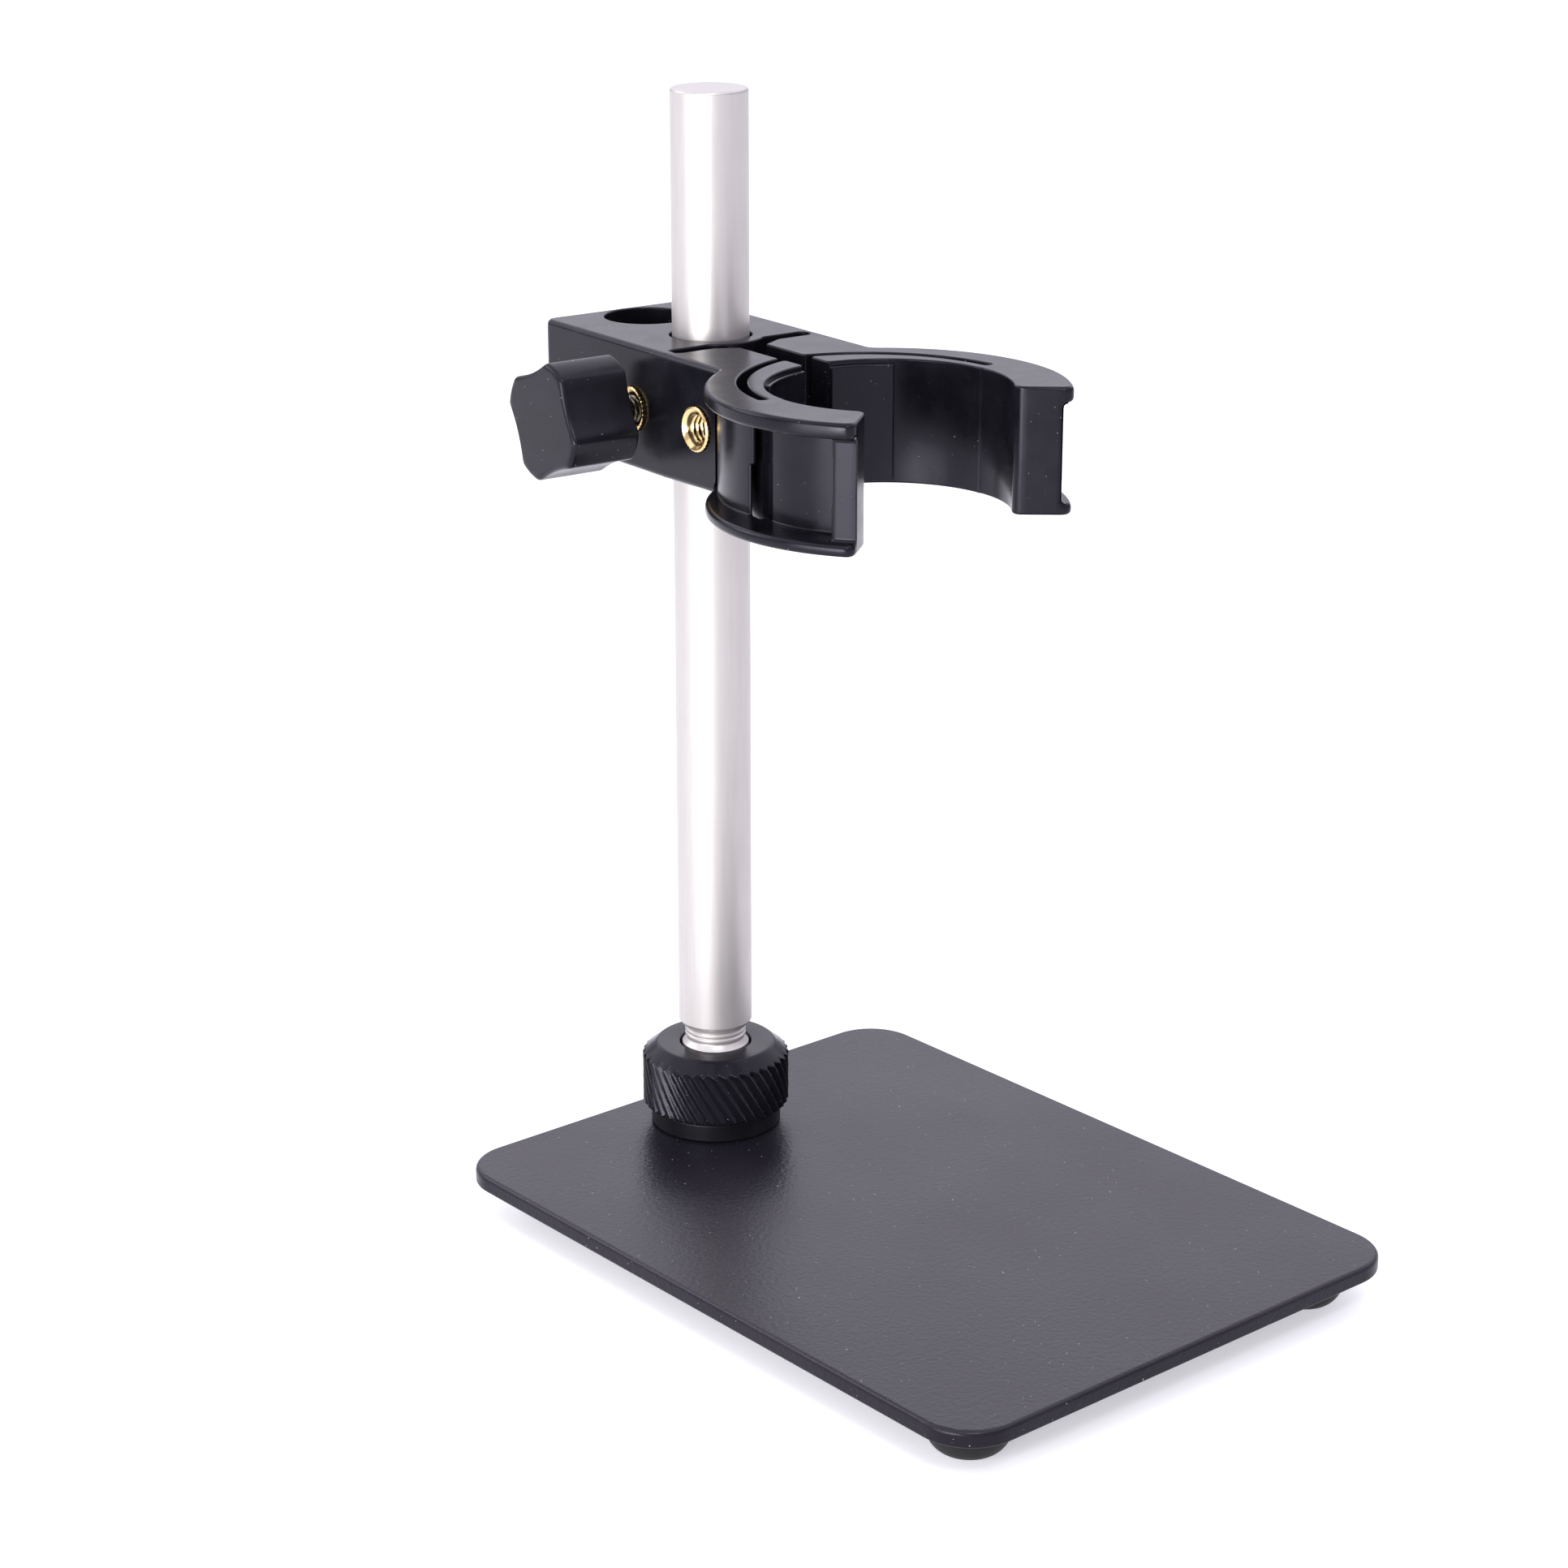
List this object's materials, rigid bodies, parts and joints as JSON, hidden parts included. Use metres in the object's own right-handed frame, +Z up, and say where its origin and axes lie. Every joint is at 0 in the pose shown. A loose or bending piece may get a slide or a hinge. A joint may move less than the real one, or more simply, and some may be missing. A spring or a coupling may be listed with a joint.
{
  "type": "retort stand",
  "caption": "Small bench stand: a rectangular base plate on rubber feet, a round pole, and a sliding clip holder with a clamp knob and two sprung jaws.",
  "frame": {"origin": "bottom centre of the bounding box, at the soles of the feet", "axes": "+Z up along the pole, -Y to the front where the clip opens, +X to the right seen from the front"},
  "size_m": [0.1216, 0.1774, 0.2372],
  "materials": {
    "coated_steel": "fine textured powder coat",
    "foot_rubber": "matt",
    "boss_metal": "satin black",
    "screw_steel": "machined",
    "pole_aluminium": "satin",
    "washer_nylon": "plain",
    "pad_nylon": "plain",
    "nut_plastic": "satin",
    "holder_plastic": "satin moulded",
    "knob_plastic": "satin moulded",
    "insert_brass": "machined"
  },
  "bodies": {
    "base": {"base_plate": "coated_steel", "foot_front_left": "foot_rubber", "foot_front_right": "foot_rubber", "foot_rear_left": "foot_rubber", "foot_rear_right": "foot_rubber", "pole_boss": "boss_metal", "boss_screw": "screw_steel"},
    "collar": {"collar_nut": "nut_plastic", "slip_washer": "washer_nylon"},
    "pole": {"pole": "pole_aluminium"},
    "holder": {"holder_block": "holder_plastic", "pole_insert": "insert_brass", "rear_insert": "insert_brass"},
    "left_jaw": {"jaw_left": "holder_plastic", "jaw_insert": "insert_brass"},
    "right_jaw": {"jaw_right": "holder_plastic"},
    "pad": {"pressure_pad": "pad_nylon"},
    "clamp_screw": {"screw_stud": "screw_steel", "clamp_knob": "knob_plastic"}
  },
  "joints": [
    {"name": "nut_turn", "type": "hinge", "parent": "base", "child": "collar", "pos_m": [-0.0034, 0.0533, 0.025], "axis": [0, 0, 1], "continuous": true},
    {"name": "pole_turn", "type": "hinge", "parent": "base", "child": "pole", "pos_m": [-0.0034, 0.0533, 0.025], "axis": [0, 0, 1], "continuous": true},
    {"name": "holder_height", "type": "slide", "parent": "pole", "child": "holder", "axis": [0, 0, 1], "range_m": [-0.13, 0.049]},
    {"name": "left_jaw_flex", "type": "hinge", "parent": "holder", "child": "left_jaw", "pos_m": [-0.02224, 0.04418, 0.1741], "axis": [0, 0, -1], "range_deg": [0, 5], "stiffness_Nm_per_rad": 1.5},
    {"name": "right_jaw_flex", "type": "hinge", "parent": "holder", "child": "right_jaw", "pos_m": [0.01374, 0.04129, 0.1741], "axis": [0, 0, 1], "range_deg": [0, 5], "stiffness_Nm_per_rad": 1.5},
    {"name": "pad_travel", "type": "slide", "parent": "holder", "child": "pad", "axis": [-0.9968, 0.0802, 0], "range_m": [0, 0.0046]},
    {"name": "knob_turn", "type": "hinge", "parent": "pad", "child": "clamp_screw", "pos_m": [-0.0333, 0.05571, 0.1738], "axis": [-0.9968, 0.0802, 0], "range_deg": [0, 1440]}
  ],
  "couplings": [
    {"joint": "pad_travel", "follows": "knob_turn", "m_per_rad": 0.00017825}
  ]
}
